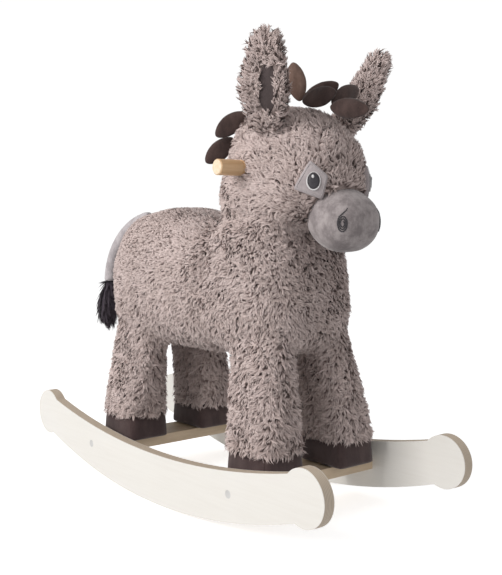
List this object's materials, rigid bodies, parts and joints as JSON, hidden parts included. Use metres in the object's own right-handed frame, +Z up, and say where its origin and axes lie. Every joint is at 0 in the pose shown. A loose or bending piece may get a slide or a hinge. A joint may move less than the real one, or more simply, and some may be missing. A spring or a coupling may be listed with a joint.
{
  "type": "rocking horse",
  "caption": "Plush donkey rocker with a dowel handle, stuffed over a wooden frame that stands on two curved plywood rockers joined by slats.",
  "frame": {"origin": "on the floor, under the middle of the two rockers", "axes": "+Z up; the donkey faces -Y, so its right side is at -X; X = 0 is the mirror plane of the frame and the body"},
  "size_m": [0.252, 0.661, 0.5993],
  "materials": {
    "whitewashed_ply": "white-washed satin plywood with bare laminated edges",
    "birch_ply": "clear-lacquered birch plywood",
    "pine": "planed softwood",
    "beech": "smooth waxed beech",
    "zinc_steel": "zinc-plated steel",
    "white_cap": "matt moulded plastic",
    "brown_suede": "short-napped faux suede",
    "grey_brown_fur": "clumped deep-pile faux fur with paler tips",
    "grey_velour": "short-pile velour",
    "embroidery": "satin-stitch embroidery",
    "dark_yarn": "long dark pile"
  },
  "bodies": {
    "donkey": {"right_rocker": "whitewashed_ply", "left_rocker": "whitewashed_ply", "front_slat": "birch_ply", "rear_slat": "birch_ply", "rocker_bolts": "zinc_steel", "barrel_nuts": "zinc_steel", "locating_dowels": "beech", "bolt_caps": "white_cap", "front_right_post": "pine", "front_left_post": "pine", "rear_right_post": "pine", "rear_left_post": "pine", "post_screws": "zinc_steel", "seat_board": "birch_ply", "board_screws": "zinc_steel", "neck_post": "pine", "neck_screws": "zinc_steel", "handle_dowel": "beech", "handle_screw": "zinc_steel", "front_right_hoof": "brown_suede", "front_left_hoof": "brown_suede", "rear_right_hoof": "brown_suede", "rear_left_hoof": "brown_suede", "front_right_leg": "grey_brown_fur", "front_left_leg": "grey_brown_fur", "rear_right_leg": "grey_brown_fur", "rear_left_leg": "grey_brown_fur", "torso_plush": "grey_brown_fur", "neck_plush": "grey_brown_fur", "head_plush": "grey_brown_fur", "muzzle": "grey_velour", "mane_petals": "brown_suede", "forelock_petals": "brown_suede", "right_eye_patch": "grey_velour", "left_eye_patch": "grey_velour", "right_eye": "embroidery", "left_eye": "embroidery", "right_nostril": "embroidery", "left_nostril": "embroidery"},
    "tail": {"tail_tube": "grey_velour"},
    "tuft": {"tail_tuft": "dark_yarn"},
    "right_ear_body": {"right_ear": "grey_brown_fur", "right_ear_lining": "brown_suede"},
    "left_ear_body": {"left_ear": "grey_brown_fur", "left_ear_lining": "brown_suede"}
  },
  "joints": [
    {"name": "tail_lift", "type": "hinge", "parent": "donkey", "child": "tail", "pos_m": [0, 0.192, 0.382], "axis": [0.9781, 0.2079, 0], "range_deg": [-5, 95], "stiffness_Nm_per_rad": 0.6},
    {"name": "tuft_swing", "type": "hinge", "parent": "tail", "child": "tuft", "pos_m": [-0.01932, 0.28287, 0.27082], "axis": [-0.2079, 0.9781, 0], "range_deg": [-35, 35]},
    {"name": "right_ear_fold", "type": "hinge", "parent": "donkey", "child": "right_ear_body", "pos_m": [-0.062, -0.158, 0.488], "axis": [0.4414, -0.8864, -0.1393], "range_deg": [-12, 35], "stiffness_Nm_per_rad": 0.3},
    {"name": "left_ear_fold", "type": "hinge", "parent": "donkey", "child": "left_ear_body", "pos_m": [0.062, -0.158, 0.488], "axis": [0.2243, 0.9345, 0.2762], "range_deg": [-20, 35], "stiffness_Nm_per_rad": 0.3}
  ]
}
